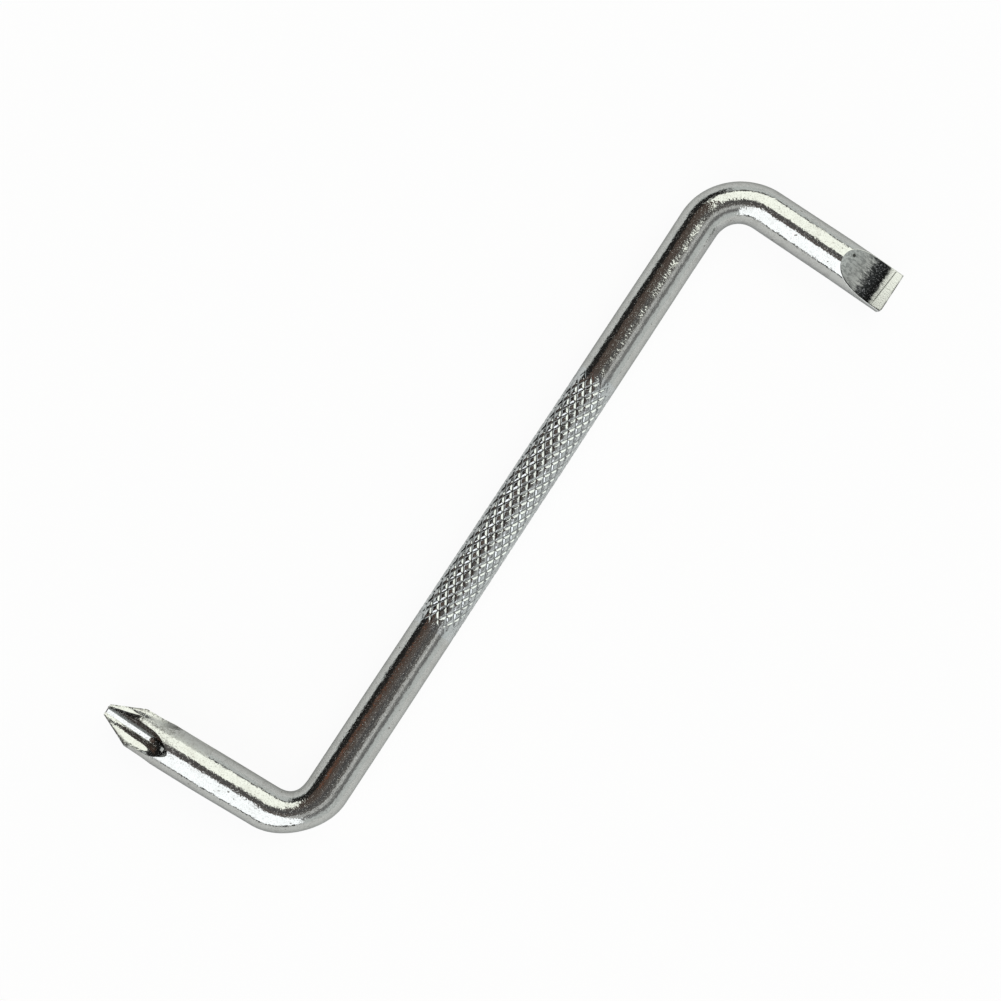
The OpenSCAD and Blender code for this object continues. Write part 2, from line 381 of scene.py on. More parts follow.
def bar_stretches(arm, thinning, material):
    """Shank, bend and arm on one side of the grip, cut out of one continuous sweep."""
    rows, names = arm_stations(arm, thinning)
    spots = rows[:, :2]
    headings = rows[:, 2:4]
    distances = arm.sign * rows[:, 6:7]
    angles = np.linspace(0, 2 * np.pi, ROUND_SIDES, endpoint=False)[None]
    side = np.stack([-headings[:, 1], headings[:, 0]], axis=1)
    across = rows[:, 4:5] * np.cos(angles)
    up = rows[:, 5:6] * np.sin(angles)
    flat = spots[:, None] + across[..., None] * side[:, None]
    rings = np.concatenate([flat, up[..., None]], axis=2)
    # Two stretches repeat the ring where they meet, and the normals are taken without the repeats
    unique = np.concatenate([[True], np.linalg.norm(np.diff(spots, axis=0), axis=1) > REPEAT_GAP])
    normals = grid_normals(rings[unique])[np.cumsum(unique) - 1]
    gathered = np.abs(np.sin(angles)) ** LEAN_POWER * np.sign(np.sin(angles))
    lean = by_distance(LEANS, distances) * gathered
    across_bar = np.concatenate([side, np.zeros((len(side), 1))], axis=1)[:, None]
    normals = normals + lean[..., None] * across_bar
    normals = normals / np.linalg.norm(normals, axis=2, keepdims=True)
    along = np.broadcast_to(distances, across.shape)
    straight = np.stack([along, arm.sign * across, up], axis=2)
    for node in dict.fromkeys(names):
        picked = [k for k, name in enumerate(names) if name == node]
        part = slice(picked[0], picked[-1] + 1)
        make_piece(node, rings[part], straight[part], material, normals[part])


def wheel_height(s, radius, hollow):
    """Half thickness that the grinding wheel leaves at a distance s from where it enters."""
    fall = radius - BLADE_THICKNESS / 2
    chord = math.hypot(hollow, fall)
    rise = math.sqrt(WHEEL_RADIUS ** 2 - (chord / 2) ** 2)
    centre_s = hollow / 2 + rise * fall / chord
    centre_h = (radius + BLADE_THICKNESS / 2) / 2 + rise * hollow / chord
    return centre_h - math.sqrt(max(WHEEL_RADIUS ** 2 - (s - centre_s) ** 2, 0.0))


def corner_points():
    """Which points of the blade's outline lie on its four corners. On the left they lie one point
    further round than a mirror image of the right would."""
    flat_count, side_count, corner_count = SECTION_COUNTS
    right_count = 2 * (flat_count + corner_count + side_count) + 1
    upper = np.arange(flat_count, flat_count + corner_count + 1)
    right = np.concatenate([upper, right_count - 1 - upper])
    left = 2 * right_count - 1 - right
    return np.concatenate([right, left])


def blade_section(radius, half_thickness, inset):
    """Outline of the blade at one place, the round bar cut by two flats, with its corners eased.
    It has the same number of points wherever it is taken."""
    flat_count, side_count, corner_count = SECTION_COUNTS
    radius = radius - inset
    height = min(half_thickness, radius) - (inset if half_thickness < radius else 0.0)
    corner = math.asin(min(height / radius, 1.0))
    half_flat = radius * math.cos(corner)
    ease = min(BLADE_EDGE_ROUND, NARROW_ROUND_SHARE * half_flat + TINY)
    side_angle = corner - ease / radius
    start = np.array([half_flat - ease, height])
    control = np.array([half_flat, height])
    finish = radius * np.array([math.cos(side_angle), math.sin(side_angle)])
    upper = [(start[0] * k / flat_count, height) for k in range(flat_count + 1)]
    for k in range(1, corner_count):
        t = k / corner_count
        upper.append(tuple((1 - t) ** 2 * start + 2 * t * (1 - t) * control + t * t * finish))
    for k in range(side_count + 1):
        angle = side_angle * (1 - k / side_count)
        upper.append((radius * math.cos(angle), radius * math.sin(angle)))
    lower = [(x, -y) for x, y in reversed(upper[:-1])]
    right = upper + lower
    left = [(-x, y) for x, y in reversed(right[1:-1])]
    return np.array(right + left)


def flat_blade(material):
    """The hollow-ground end of the slotted arm. It marks its corners and where the wheel cut it."""
    length = slotted.length - slotted.wall_end
    hollow = length - BLADE_FLAT
    half_width = BLADE_WIDTH / 2
    places = list(WHEEL_ENTRY * np.linspace(0, 1, WHEEL_ENTRY_RINGS) ** 2)
    places += list(steps(WHEEL_ENTRY, hollow - HOLLOW_GAP, HOLLOW_STEP))[1:]
    places += list(steps(hollow, length - BLADE_EDGE_ROUND, FLAT_STEP))
    insets = [0.0] * len(places)
    for k in range(1, BLADE_EDGE_RINGS + 1):
        angle = math.pi / 2 * k / BLADE_EDGE_RINGS
        places.append(length - BLADE_EDGE_ROUND * (1 - math.sin(angle)))
        insets.append(BLADE_EDGE_ROUND * (1 - math.cos(angle)))
    rings = []
    straight = []
    ground = []
    for s, inset in zip(places, insets):
        radius = slotted.radius + (half_width - slotted.radius) * s / length
        height = radius if s <= 0 else BLADE_THICKNESS / 2
        if 0 < s < hollow:
            height = wheel_height(s, slotted.radius, hollow)
        outline = blade_section(radius, height, inset)
        across, up = outline[:, 0], outline[:, 1]
        ground.append((np.abs(up) >= up[0] - TINY) & (s > 0))
        skew = FLAT_SKEW * across * share_between(abs(s - hollow), FLAT_SKEW_REACH, 0)
        worn = np.clip(-across - (half_width - WORN_CORNER), 0, None)
        along = slotted.wall_end + s + skew - worn * share_between(s, hollow, length)
        turn = np.interp(s, (0, hollow), BLADE_TURNS)
        turned = across * math.cos(turn) - up * math.sin(turn)
        raised = across * math.sin(turn) + up * math.cos(turn)
        rings.append(slotted.place(along, turned - BLADE_LEAN * s / length, raised))
        straight.append(np.stack([slotted.bar_shift + along, across, up], axis=1))
    corner = np.zeros(np.shape(ground))
    corner[:, corner_points()] = 1.0
    piece = make_piece("slotted_blade", np.array(rings), straight, material,
                       marks={"corner": corner, "ground": ground})
    mark_by_angle(piece, BLADE_SHARP)


def point_radius(s):
    """Radius of the turned point at a distance s back from the blunt end."""
    length = phillips.length - phillips.wall_end
    places = (0.0, CONE_LENGTH, length)
    return np.interp(s, places, (BLUNT_DIAMETER / 2, POINT_DIAMETER / 2, phillips.radius))


def flute_clearance(radius, angle, s):
    """How far a point lies inside one flute's cut, below zero where it is outside. The angle is from
    the flute's middle, and s runs back from the blunt end."""
    slope_sin = math.sin(FLUTE_SLOPE)
    slope_cos = math.cos(FLUTE_SLOPE)
    fall = slope_cos * CUTTER_RADIUS
    rise = slope_sin * CUTTER_RADIUS
    lift_depth = POINT_DIAMETER / 2 - CORE_BACK
    lift = math.sqrt(CUTTER_RADIUS ** 2 - (fall - lift_depth) ** 2) - rise
    straight = FLUTE_LENGTH - lift
    x = radius * np.cos(angle) - CORE_BACK
    ahead = s - straight
    before = x * slope_sin + ahead * slope_cos < 0
    line_depth = x * slope_cos - ahead * slope_sin
    wheel_depth = CUTTER_RADIUS - np.hypot(x - fall, ahead + rise)
    depth = np.where(before, line_depth, wheel_depth)
    side = FLUTE_BOTTOM / 2 + depth * math.tan(FLUTE_HALF_ANGLE) - radius * np.abs(np.sin(angle))
    side = side + FLANK_WAVE * np.sin(2 * np.pi * depth / FLANK_WAVE_LENGTH)
    return np.minimum(depth, side)


def fluted_radius(angle, s):
    """Radius of the fluted point in a direction measured from the middle of a flute."""
    outer = point_radius(s)
    low = np.zeros_like(angle)
    high = np.full_like(angle, outer)
    for _ in range(HALVINGS):
        middle = (low + high) / 2
        cut = flute_clearance(middle, angle, s) > 0
        high = np.where(cut, middle, high)
        low = np.where(cut, low, middle)
    gap = outer - high
    eased = np.maximum(high - CREST_EASE * np.exp(-gap / CREST_ROUND), 0)
    return np.where(gap < CREST_REACH, eased, high)


def crest_angle(s):
    """Angle from the middle of a flute to the edge of the wing beside it."""
    outer = point_radius(s)
    low, high = 0.0, math.pi / FLUTES
    if flute_clearance(outer, low, s) <= 0:
        return 0.0
    for _ in range(HALVINGS):
        middle = (low + high) / 2
        if flute_clearance(outer, middle, s) > 0:
            low = middle
        else:
            high = middle
    return low


def cross_point(material):
    """The turned and fluted end of the cross point arm. It marks the worn crests, their dirty lip and
    the dull flute."""
    face_count, crest_count = WING_COUNTS
    half_wing = math.pi / FLUTES
    length = phillips.length - phillips.wall_end
    places = [RIM_LENGTH * share for share in RIM_SHARES]
    places += list(steps(RIM_LENGTH, CONE_LENGTH, HOLLOW_STEP))[1:]
    places += list(steps(CONE_LENGTH, FLUTE_LENGTH + FLUTE_OVERRUN, FLAT_STEP))[1:]
    places += list(steps(FLUTE_LENGTH + FLUTE_OVERRUN, length, STRAIGHT_STEP))[1:]
    rings = []
    straight = []
    marks = {"worn": [], "dull": [], "lip": []}
    for s in places:
        cut_place = max(s, RIM_LENGTH)
        edge = max(crest_angle(cut_place), LEAST_CREST_ANGLE)
        face = edge * np.arange(face_count) / face_count
        crest = edge + (half_wing - edge) * np.arange(crest_count) / crest_count
        eighth = np.concatenate([face, crest])
        quarter = np.concatenate([eighth, [half_wing], 2 * half_wing - eighth[:0:-1]])
        radius = fluted_radius(np.minimum(quarter, 2 * half_wing - quarter), cut_place)
        wear = share_between(point_radius(cut_place) - radius, WEAR_REACH, 0)
        if s < RIM_LENGTH:
            radius = radius - RIM_DEPTH * (1 - math.sqrt(1 - (1 - s / RIM_LENGTH) ** 2))
        radius = np.tile(radius, FLUTES)
        angle = np.concatenate([quarter + 2 * half_wing * k for k in range(FLUTES)]) + FLUTE_TURN
        across, up = radius * np.sin(angle), radius * np.cos(angle)
        lean = POINT_LEAN * max(1 - s / LEAN_LENGTH, 0) ** LEAN_CURVE
        along = np.full(len(angle), phillips.length - s - lean * abs(phillips.side[1]))
        rings.append(phillips.place(along, across - lean, up))
        straight.append(np.stack([-(phillips.bar_shift + along), -across, up], axis=1))
        past_dull = angle - FLUTE_TURN - 2 * half_wing * DULL_FLUTE
        from_dull = np.abs(np.mod(past_dull + np.pi, 2 * np.pi) - np.pi)
        marks["worn"].append(np.tile(wear * share_between(s, *WEAR_FADE), FLUTES))
        marks["dull"].append((from_dull < half_wing) * share_between(s, *DULL_START))
        marks["lip"].append(np.tile((wear > LIP_WEAR) * share_between(s, *LIP_FADE), FLUTES))
    piece = make_piece("phillips_tip", np.array(rings), straight, material, marks=marks)
    mark_by_angle(piece, POINT_SHARP)


def ragged(angle, phase):
    """A wavy offset round the bar, for the ends of the knurl, within one either way."""
    total = np.zeros_like(angle)
    for k, (count, share) in enumerate(RAGGED_WAVES):
        total = total + share * np.sin(count * angle + phase * (k + 1))
    return total


def knurled_grip(material):
    """Two sets of helical grooves that leave a field of flat-topped diamonds and fade at both ends.
    It marks how deep each point lies in its groove."""
    s = np.linspace(-GRIP_HALF, GRIP_HALF, KNURL_LENGTH_STEPS + 1)[:, None]
    angle = np.linspace(0, 2 * np.pi, KNURL_ROUND_STEPS, endpoint=False)[None]
    wander = 0.0
    for reach, length, count, start in KNURL_WANDERS:
        wander = wander + reach * np.sin(s / length + count * angle + start)
    turn = (angle + KNURL_TURN) * KNURL_STARTS / (2 * np.pi)
    right_hand = turn + s / KNURL_PITCH + wander
    left_hand = turn - s / KNURL_PITCH - LEFT_WANDER_SHARE * wander
    phases = np.stack([right_hand, left_hand])
    across_grooves = 2 * np.abs(phases - np.floor(phases) - 0.5)
    slope = share_between(across_grooves, KNURL_FLAT_SHARE, 1)
    smooth = slope * slope * (3 - 2 * slope)
    walls = slope + WALL_ROUNDING * (smooth - slope)
    eased = np.minimum((walls ** CROSSING_POWER).sum(axis=0) ** (1 / CROSSING_POWER), 1)
    fades = []
    for inward, phase in zip((s + GRIP_HALF, GRIP_HALF - s), RAGGED_PHASES):
        fades.append(inward / KNURL_FADE + RAGGED_SHARE * ragged(angle, phase) - RAGGED_DELAY_SHARE)
    closed = share_between(np.abs(s), GRIP_HALF, GRIP_HALF - KNURL_CLOSING)
    fade = np.clip(np.minimum(*fades), 0, 1) * closed
    change, change_length = DEPTH_CHANGE
    depth = KNURL_DEPTH * fade * (1 + change * np.sin(s / change_length + angle))
    radius = SHANK_RADIUS - depth * eased
    x = np.broadcast_to(s, radius.shape)
    width = by_distance(WIDTH_SHARES, s)
    rings = np.stack([x, radius * np.cos(angle) * width, radius * np.sin(angle)], axis=2)
    make_piece("knurled_grip", rings, rings, material, marks={"groove": eased * fade})


class Graph:
    """Short calls for building a node tree."""

    def __init__(self, tree):
        self.tree = tree
        tree.nodes.clear()

    def add(self, kind, settings=None, **inputs):
        made = self.tree.nodes.new(kind)
        for name, value in (settings or {}).items():
            setattr(made, name, value)
        for name, value in inputs.items():
            self.feed(made.inputs[name.replace("_", " ")], value)
        return made

    def feed(self, socket, value):
        if isinstance(value, bpy.types.NodeSocket):
            self.tree.links.new(value, socket)
        else:
            socket.default_value = value

    def chain(self, kind, settings, values, output=0):
        """One output of a node whose first inputs take the values in turn."""
        made = self.add(kind, settings)
        for socket, value in zip(made.inputs, values):
            self.feed(socket, value)
        return made.outputs[output]

    def attribute(self, name, output="Fac"):
        """A value that the mesh carries, or zero where it has none by that name."""
        return self.add("ShaderNodeAttribute", {"attribute_name": name}).outputs[output]

    def split(self, vector):
        """The three parts of a vector."""
        made = self.add("ShaderNodeSeparateXYZ")
        self.feed(made.inputs[0], vector)
        return made.outputs

    def math(self, operation, *values):
        return self.chain("ShaderNodeMath", {"operation": operation}, values)

    def plus(self, a, b):
        return self.math("ADD", a, b)

    def minus(self, a, b):
        return self.math("SUBTRACT", a, b)

    def times(self, a, b):
        return self.math("MULTIPLY", a, b)

    def larger(self, a, b):
        return self.math("MAXIMUM", a, b)

    def total(self, first, *terms):
        """The first value with further values added to it, each given with its factor."""
        for value, factor in terms:
            first = self.plus(first, self.times(value, factor))
        return first

    def ramp(self, value, low, high, to_low=0.0, to_high=1.0):
        """A smooth step of a value from low to high."""
        settings = {"interpolation_type": "SMOOTHSTEP"}
        return self.chain("ShaderNodeMapRange", settings, (value, low, high, to_low, to_high))

    def near(self, value, middle, reach):
        """One where a value is at its middle, falling to zero within the reach."""
        return self.ramp(self.math("ABSOLUTE", self.minus(value, middle)), reach, 0.0)

    def mix(self, share, a, b):
        """A colour between two others."""
        made = self.add("ShaderNodeMix", {"data_type": "RGBA"})
        self.feed(made.inputs[0], share)
        self.feed(made.inputs[6], a)
        self.feed(made.inputs[7], b)
        return made.outputs[2]

    def scaled(self, vector, factors):
        return self.chain("ShaderNodeVectorMath", {"operation": "MULTIPLY"}, (vector, factors))

    def dot(self, vector, other):
        return self.chain("ShaderNodeVectorMath", {"operation": "DOT_PRODUCT"}, (vector, other), "Value")

    def noise(self, vector, scale, detail=2.0, roughness=0.5, output=0):
        made = self.add("ShaderNodeTexNoise", Vector=vector, Scale=scale, Detail=detail, Roughness=roughness)
        return made.outputs[output]

    def finish(self, kind, shader):
        """Links a shader to the tree's output."""
        out = self.add(kind)
        self.feed(out.inputs["Surface"], shader.outputs[0])


def rgb(red, green, blue):
    return (red, green, blue, 1.0)


def new_material(name):
    made = bpy.data.materials.new(name)
    made.use_nodes = True
    return made, Graph(made.node_tree)


# Scales of the steel's textures, in cells per metre
WAVE_SCALE = 230.0
RIPPLE_SCALE = 3000.0
GRIT_SCALE = 4600.0
PATCH_SCALE = 520.0
PIT_SCALE = 1700.0
PIT_WARP_SCALE = 3800.0
PIT_FIELD_SCALE = 190.0
RUB_SCALE = 3600.0
SPECK_SCALE = 4300.0
FLECK_SCALE = 5200.0
GRIME_SCALE = 2300.0
# Heights are in micrometres
MICROMETRE = 1e-6
PIT_DEPTH = 14.0
RUB_HEIGHT = 26.0
# How much coarser the plating is over a patch than between the patches, from and to which value of
# the noise, then how coarse on either side
COARSENESS = (0.38, 0.62, 0.45, 1.5)
# How rare pits are, in the same form, then their largest reach, the softness of their edge and how far
# the warp bends their outlines, in metres
PIT_RARITY = (0.42, 0.68, 0.96, 0.66)
PIT_REACH = 0.30
PIT_EDGE = 0.12
PIT_WARP = (0.5 * MM, 0.5 * MM, 0.5 * MM)
# Values of a noise or a mark between which each thing comes in
PATCH_ROUGH_EDGE = (0.35, 0.7)
PATCH_STAIN_EDGE = (0.45, 0.8)
SPECK_EDGE = (0.57, 0.64)
FLECK_EDGE = (0.50, 0.66)
LIP_GRIME_EDGE = (0.62, 0.50)
DEEP_GROOVE_DARK_EDGE = (0.55, 1.0)
# Across the bar, where matt specks become frequent, and how strong they are on either side
SPECKLED_SIDE = (-1.5 * MM, -0.8 * MM, 0.3, 1.0)
# How much more frequent specks are on a worn crest, and how much darker the bottom of a groove gets
WORN_SPECKS = 0.09
DEEP_GROOVE_DARKNESS = 0.5
# Colours of clean plating, of the bottom of a pit, and of grime along the crests' lip, which also
# darkens the bottoms of the knurl's grooves
PLATING_COLOUR = rgb(0.56, 0.57, 0.56)
PIT_COLOUR = rgb(0.09, 0.075, 0.06)
GRIME_AND_GROOVE_DARK_COLOUR = rgb(0.06, 0.055, 0.05)
# How much of the light the metal keeps at a glancing angle, kept low as painted shade: the rims darken
# in place of the bar's shadow on the floor that they would mirror
GLANCING_SHADE_TINT = rgb(0.55, 0.56, 0.56)


def plated_surface(g, place, wave, peel, grain):
    """Height in micrometres of a plated surface, its patches from place to place and its pits."""
    patches = g.noise(place, PATCH_SCALE, 3.0, 0.6)
    coarse = g.ramp(patches, *COARSENESS)
    ripple = g.times(g.noise(place, RIPPLE_SCALE, 1.0), peel)
    grit = g.times(g.noise(place, GRIT_SCALE, 1.0), grain)
    warp = g.noise(place, PIT_WARP_SCALE, 1.0, output="Color")
    bent = g.chain("ShaderNodeVectorMath", {"operation": "MULTIPLY_ADD"}, (warp, PIT_WARP, place))
    cells = g.add("ShaderNodeTexVoronoi", {"feature": "F1"}, Vector=bent, Scale=PIT_SCALE)
    chosen = g.chain("ShaderNodeSeparateColor", {}, (cells.outputs["Color"],))
    rarity = g.ramp(g.noise(place, PIT_FIELD_SCALE), *PIT_RARITY)
    reach = g.ramp(chosen, rarity, 1.0, 0.0, PIT_REACH)
    pit = g.ramp(g.minus(reach, cells.outputs["Distance"]), 0.0, PIT_EDGE)
    slow = g.times(g.noise(place, WAVE_SCALE, 1.0), wave)
    height = g.total(slow, (ripple, coarse), (grit, coarse), (pit, -PIT_DEPTH))
    return height, patches, pit


def steel_shader(g, colour, roughness, height):
    bump = g.add("ShaderNodeBump", Strength=1.0, Distance=MICROMETRE, Height=height)
    # Painted shade: the specular tint darkens the rims at glancing angles, standing in for the mirrored
    # shadow under the bar
    shader = g.add("ShaderNodeBsdfPrincipled", Metallic=1.0, Base_Color=colour, Roughness=roughness,
                   Specular_Tint=GLANCING_SHADE_TINT)
    g.feed(shader.inputs["Normal"], bump.outputs[0])
    g.finish("ShaderNodeOutputMaterial", shader)


def plated(name, base, stain, rough, wave, peel, grain):
    """Bright plating over steel, of a base colour that is stained in patches, flecks and specks. rough
    is its roughness from smoothest to roughest, wave the height of its slow undulation, peel that of
    its ripple and grain that of its grit, in micrometres. Marks of the mesh make it worn and speckled
    along the crests, dull in one flute, dirty along the crests' lip and darker towards the bottoms of
    the knurl's grooves."""
    made, g = new_material(name)
    place = g.attribute("straight", "Vector")
    worn = g.attribute("worn")
    height, patches, pit = plated_surface(g, place, wave, peel, grain)
    rub = g.times(g.noise(place, RUB_SCALE, 2.0, 0.7), worn)
    height = g.total(height, (rub, RUB_HEIGHT))
    often = g.total(g.noise(place, SPECK_SCALE, 3.0, 0.75), (worn, WORN_SPECKS))
    specks = g.times(g.ramp(often, *SPECK_EDGE), g.ramp(g.split(place)[1], *SPECKLED_SIDE))
    flecks = g.ramp(g.noise(place, FLECK_SCALE, 2.0, 0.7), *FLECK_EDGE)
    lip_grime = g.times(g.attribute("lip"), g.ramp(g.noise(place, GRIME_SCALE, 1.0), *LIP_GRIME_EDGE))
    # Darker towards the bottoms of the knurl's grooves, by how deep each point lies in its groove
    deep_groove_darkening = g.times(g.ramp(g.attribute("groove"), *DEEP_GROOVE_DARK_EDGE), DEEP_GROOVE_DARKNESS)
    stained = g.ramp(patches, *PATCH_STAIN_EDGE)
    # Each layer of colour: where it lies, how well it covers and what colour it is
    layers = [
        (stained, 0.4, stain),
        (flecks, 0.6, stain),
        (specks, 0.35, stain),
        (pit, 0.85, PIT_COLOUR),
        (g.larger(lip_grime, deep_groove_darkening), 0.9, GRIME_AND_GROOVE_DARK_COLOUR),
    ]
    colour = base
    for where, cover, tint in layers:
        colour = g.mix(g.times(where, cover), colour, tint)
    # What pits, the dull flute and specks add to the roughness
    added = [(pit, 0.25), (g.attribute("dull"), 0.4), (specks, 0.45)]
    roughness = g.total(g.ramp(patches, *PATCH_ROUGH_EDGE, *rough), *added)
    steel_shader(g, colour, roughness, height)
    return made


# Ground steel: how the grinding lines are drawn out along the bar, and the scales of its textures
LINE_STRETCH = (0.03, 1.0, 1.0)
LINE_SCALE = 3400.0
FINE_SCALE = 5200.0
BAND_SCALE = 2600.0
MARK_SCALE = 700.0
# How far the edges of the painted dark reflection band wander, and how far its streaks reach along the bar
BAND_WANDER = 1.1 * MM
BAND_STREAK = 2.2 * MM
# Colours between the lines of the hollow and on them, of the flat and its specks, and of the dark band
# painted into the hollow as a dark reflection and its specks, then of dark marks
HOLLOW_COLOURS = (rgb(0.32, 0.335, 0.33), rgb(0.60, 0.62, 0.605))
FLAT_COLOURS = (rgb(0.55, 0.56, 0.55), rgb(0.44, 0.44, 0.43))
DARK_BAND_COLOURS = (rgb(0.025, 0.027, 0.028), rgb(0.32, 0.33, 0.34))
MARK_COLOUR = rgb(0.05, 0.05, 0.045)
# Values of a noise or a mark between which each thing comes in
CUT_EDGE = (0.4, 0.6)
LINE_EDGE = (0.36, 0.60)
FLAT_SPECK_EDGE = (0.5, 0.75)
DARK_BAND_SPECK_EDGE = (0.56, 0.66)
PIT_MARK_EDGE = (0.1, 0.4)
# Where marks wear away, in the same form, then how strong they are on either side
MARK_WEAR = (0.40, 0.52, 0.35, 1.0)
# Reach of the dark lines where the flat starts and at the end, then the place across the blade and the
# reach of a thin line along the flat
FLAT_LINE_REACH = 0.12 * MM
END_LINE_REACH = 0.30 * MM
THIN_LINE = (0.25 * MM, 0.06 * MM)
# How well flat specks, the thin line and the marks cover
FLAT_SPECK_COVER = 0.5
THIN_LINE_COVER = 0.6
MARK_COVER = 0.95
# Roughness of the flat and what the hollow adds to it, then the lines' height on the flat, what the
# hollow adds to it and the height of fine grain
FLAT_ROUGHNESS = 0.06
HOLLOW_ROUGHNESS = 0.30
FLAT_LINE_HEIGHT = 0.5
HOLLOW_LINE_HEIGHT = 3.0
FINE_HEIGHT = 2.5


def ground_steel():
    """Steel ground lengthwise. It is dull in the hollow. Where the hollow nears the flat, a near-black band
    is painted in as a dark reflection. It is bright on the flat, with dark lines along its corners. Where
    the wheel didn't cut, it is plated."""
    made, g = new_material("ground_steel")
    place = g.attribute("straight", "Vector")
    cut = g.ramp(g.attribute("ground"), *CUT_EDGE)
    parts = g.split(place)
    along, across = parts[0], parts[1]
    lines = g.noise(g.scaled(place, LINE_STRETCH), LINE_SCALE, 2.0, 0.75)
    fine = g.noise(place, FINE_SCALE, 2.0, 0.7)
    wandered = g.total(along, (g.minus(g.noise(place, BAND_SCALE), 0.5), BAND_WANDER))
    streaked = g.total(wandered, (g.minus(0.5, lines), BAND_STREAK))
    # Painted reflection: a near-black band across the hollow stands in for the dark surroundings it would
    # mirror
    painted_dark_band = g.times(g.ramp(streaked, *DARK_BAND_START), g.ramp(wandered, *DARK_BAND_END))
    flat = g.ramp(wandered, *reversed(DARK_BAND_END))
    hollow = g.times(g.minus(1.0, flat), g.minus(1.0, painted_dark_band))
    flat_specks = g.times(g.ramp(fine, *FLAT_SPECK_EDGE), FLAT_SPECK_COVER)
    colour = g.mix(g.ramp(lines, *LINE_EDGE), *HOLLOW_COLOURS)
    colour = g.mix(flat, colour, g.mix(flat_specks, *FLAT_COLOURS))
    colour = g.mix(painted_dark_band, colour, g.mix(g.ramp(fine, *DARK_BAND_SPECK_EDGE), *DARK_BAND_COLOURS))
    flat_line = g.near(g.total(along, (across, -FLAT_SKEW)), FLAT_START, FLAT_LINE_REACH)
    end_line = g.near(along, BLADE_END, END_LINE_REACH)
    thin_line = g.times(g.near(across, *THIN_LINE), g.times(flat, THIN_LINE_COVER))
    marks = g.larger(g.larger(flat_line, end_line), g.larger(thin_line, g.attribute("corner")))
    marks = g.times(marks, g.ramp(g.noise(place, MARK_SCALE), *MARK_WEAR))
    pit_along, pit_across, pit_reach = HOLLOW_PIT
    pit = g.times(g.near(along, pit_along, pit_reach), g.near(across, pit_across, pit_reach))
    marks = g.larger(marks, g.ramp(pit, *PIT_MARK_EDGE))
    colour = g.mix(g.times(marks, MARK_COVER), colour, MARK_COLOUR)
    colour = g.mix(cut, PLATING_COLOUR, colour)
    roughness = g.total(FLAT_ROUGHNESS, (g.times(hollow, cut), HOLLOW_ROUGHNESS))
    line_height = g.total(FLAT_LINE_HEIGHT, (hollow, HOLLOW_LINE_HEIGHT))
    ground_height = g.total(g.times(lines, line_height), (fine, FINE_HEIGHT))
    plated_height = plated_surface(g, place, wave=20.0, peel=18.0, grain=7.0)[0]
    height = g.total(g.times(ground_height, cut), (plated_height, g.minus(1.0, cut)))
    steel_shader(g, colour, roughness, height)
    return made


# Floor: half its width, its colour, and how much of it glows white for the camera and in reflections
FLOOR_HALF = 6.0
FLOOR_COLOUR = rgb(0.95, 0.95, 0.95)
FLOOR_SEEN_GLOW = 0.93
FLOOR_MIRRORED_GLOW = 0.25


def pale_floor():
    """A wide white floor that the bar lies on. It keeps the bar's shadow."""
    mesh = bpy.data.meshes.new("floor")
    signs = [(-1, -1), (1, -1), (1, 1), (-1, 1)]
    mesh.from_pydata([(x * FLOOR_HALF, y * FLOOR_HALF, FLOOR_HEIGHT) for x, y in signs], [], [(0, 1, 2, 3)])
    made, g = new_material("white_floor")
    diffuse = g.add("ShaderNodeBsdfDiffuse", Color=FLOOR_COLOUR)
    white = g.add("ShaderNodeEmission", Color=rgb(1.0, 1.0, 1.0), Strength=1.0)
    rays = g.add("ShaderNodeLightPath").outputs
    mirrored = g.larger(rays["Is Glossy Ray"], rays["Is Transmission Ray"])
    seen = g.times(rays["Is Camera Ray"], FLOOR_SEEN_GLOW)
    glow = g.total(seen, (mirrored, FLOOR_MIRRORED_GLOW))
    blend = g.add("ShaderNodeMixShader")
    g.feed(blend.inputs[0], glow)
    g.feed(blend.inputs[1], diffuse.outputs[0])
    g.feed(blend.inputs[2], white.outputs[0])
    g.finish("ShaderNodeOutputMaterial", blend)
    mesh.materials.append(made)
    floor = bpy.data.objects.new("floor", mesh)
    bpy.context.scene.collection.objects.link(floor)


# Studio round the tool, by angle from straight up, in degrees, and radiance
BEHIND_LIGHTS = [
    (0, (0.12, 0.117, 0.117)), (12, (0.13, 0.125, 0.12)), (16, (0.19, 0.18, 0.17)),
    (22, (0.19, 0.18, 0.17)), (27, (0.62, 0.62, 0.60)), (37, (0.66, 0.66, 0.64)),
    (45, (0.36, 0.36, 0.35)), (52, (0.22, 0.22, 0.215)), (58, (0.30, 0.30, 0.30)),
    (66, (0.74, 0.77, 0.75)), (90, (0.76, 0.79, 0.77)),
]
DARK_SIDE = [
    (0, (0.12, 0.117, 0.117)), (12, (0.17, 0.15, 0.14)), (19, (0.14, 0.115, 0.10)),
    (49, (0.115, 0.085, 0.07)), (55, (0.03, 0.028, 0.026)), (82, (0.02, 0.02, 0.02)),
    (86.5, (0.62, 0.65, 0.63)), (90, (0.76, 0.79, 0.77)),
]
# The angle at which both end, and the colours of the warm light, the cool light and their dark rims
LOWEST_ANGLE = 90.0
WARM_LIGHT = rgb(1.66, 1.69, 1.53)
COOL_LIGHT = rgb(1.80, 1.84, 1.87)
LIGHT_RIM = rgb(0.12, 0.12, 0.115)
# Each edge of a light is a plane whose normal points to the lit side, and its softness is along that
WARM_EDGES = [(0.902, -0.431, -0.225), (1.5, 1.0, -0.15), (1.0, 0.0, -0.262)]
WARM_LOWEST = (-0.651, -0.759, 1.55)
WARM_RIM = (-0.651, -0.759, 2.1)
COOL_EDGES = [(-0.848, 0.53, -0.25), (-0.731, 0.682, 0.0), (-0.514, -0.857, 0.0)]
EDGE_SOFTNESS = 0.01
WARM_RIM_SOFTNESS = 0.02
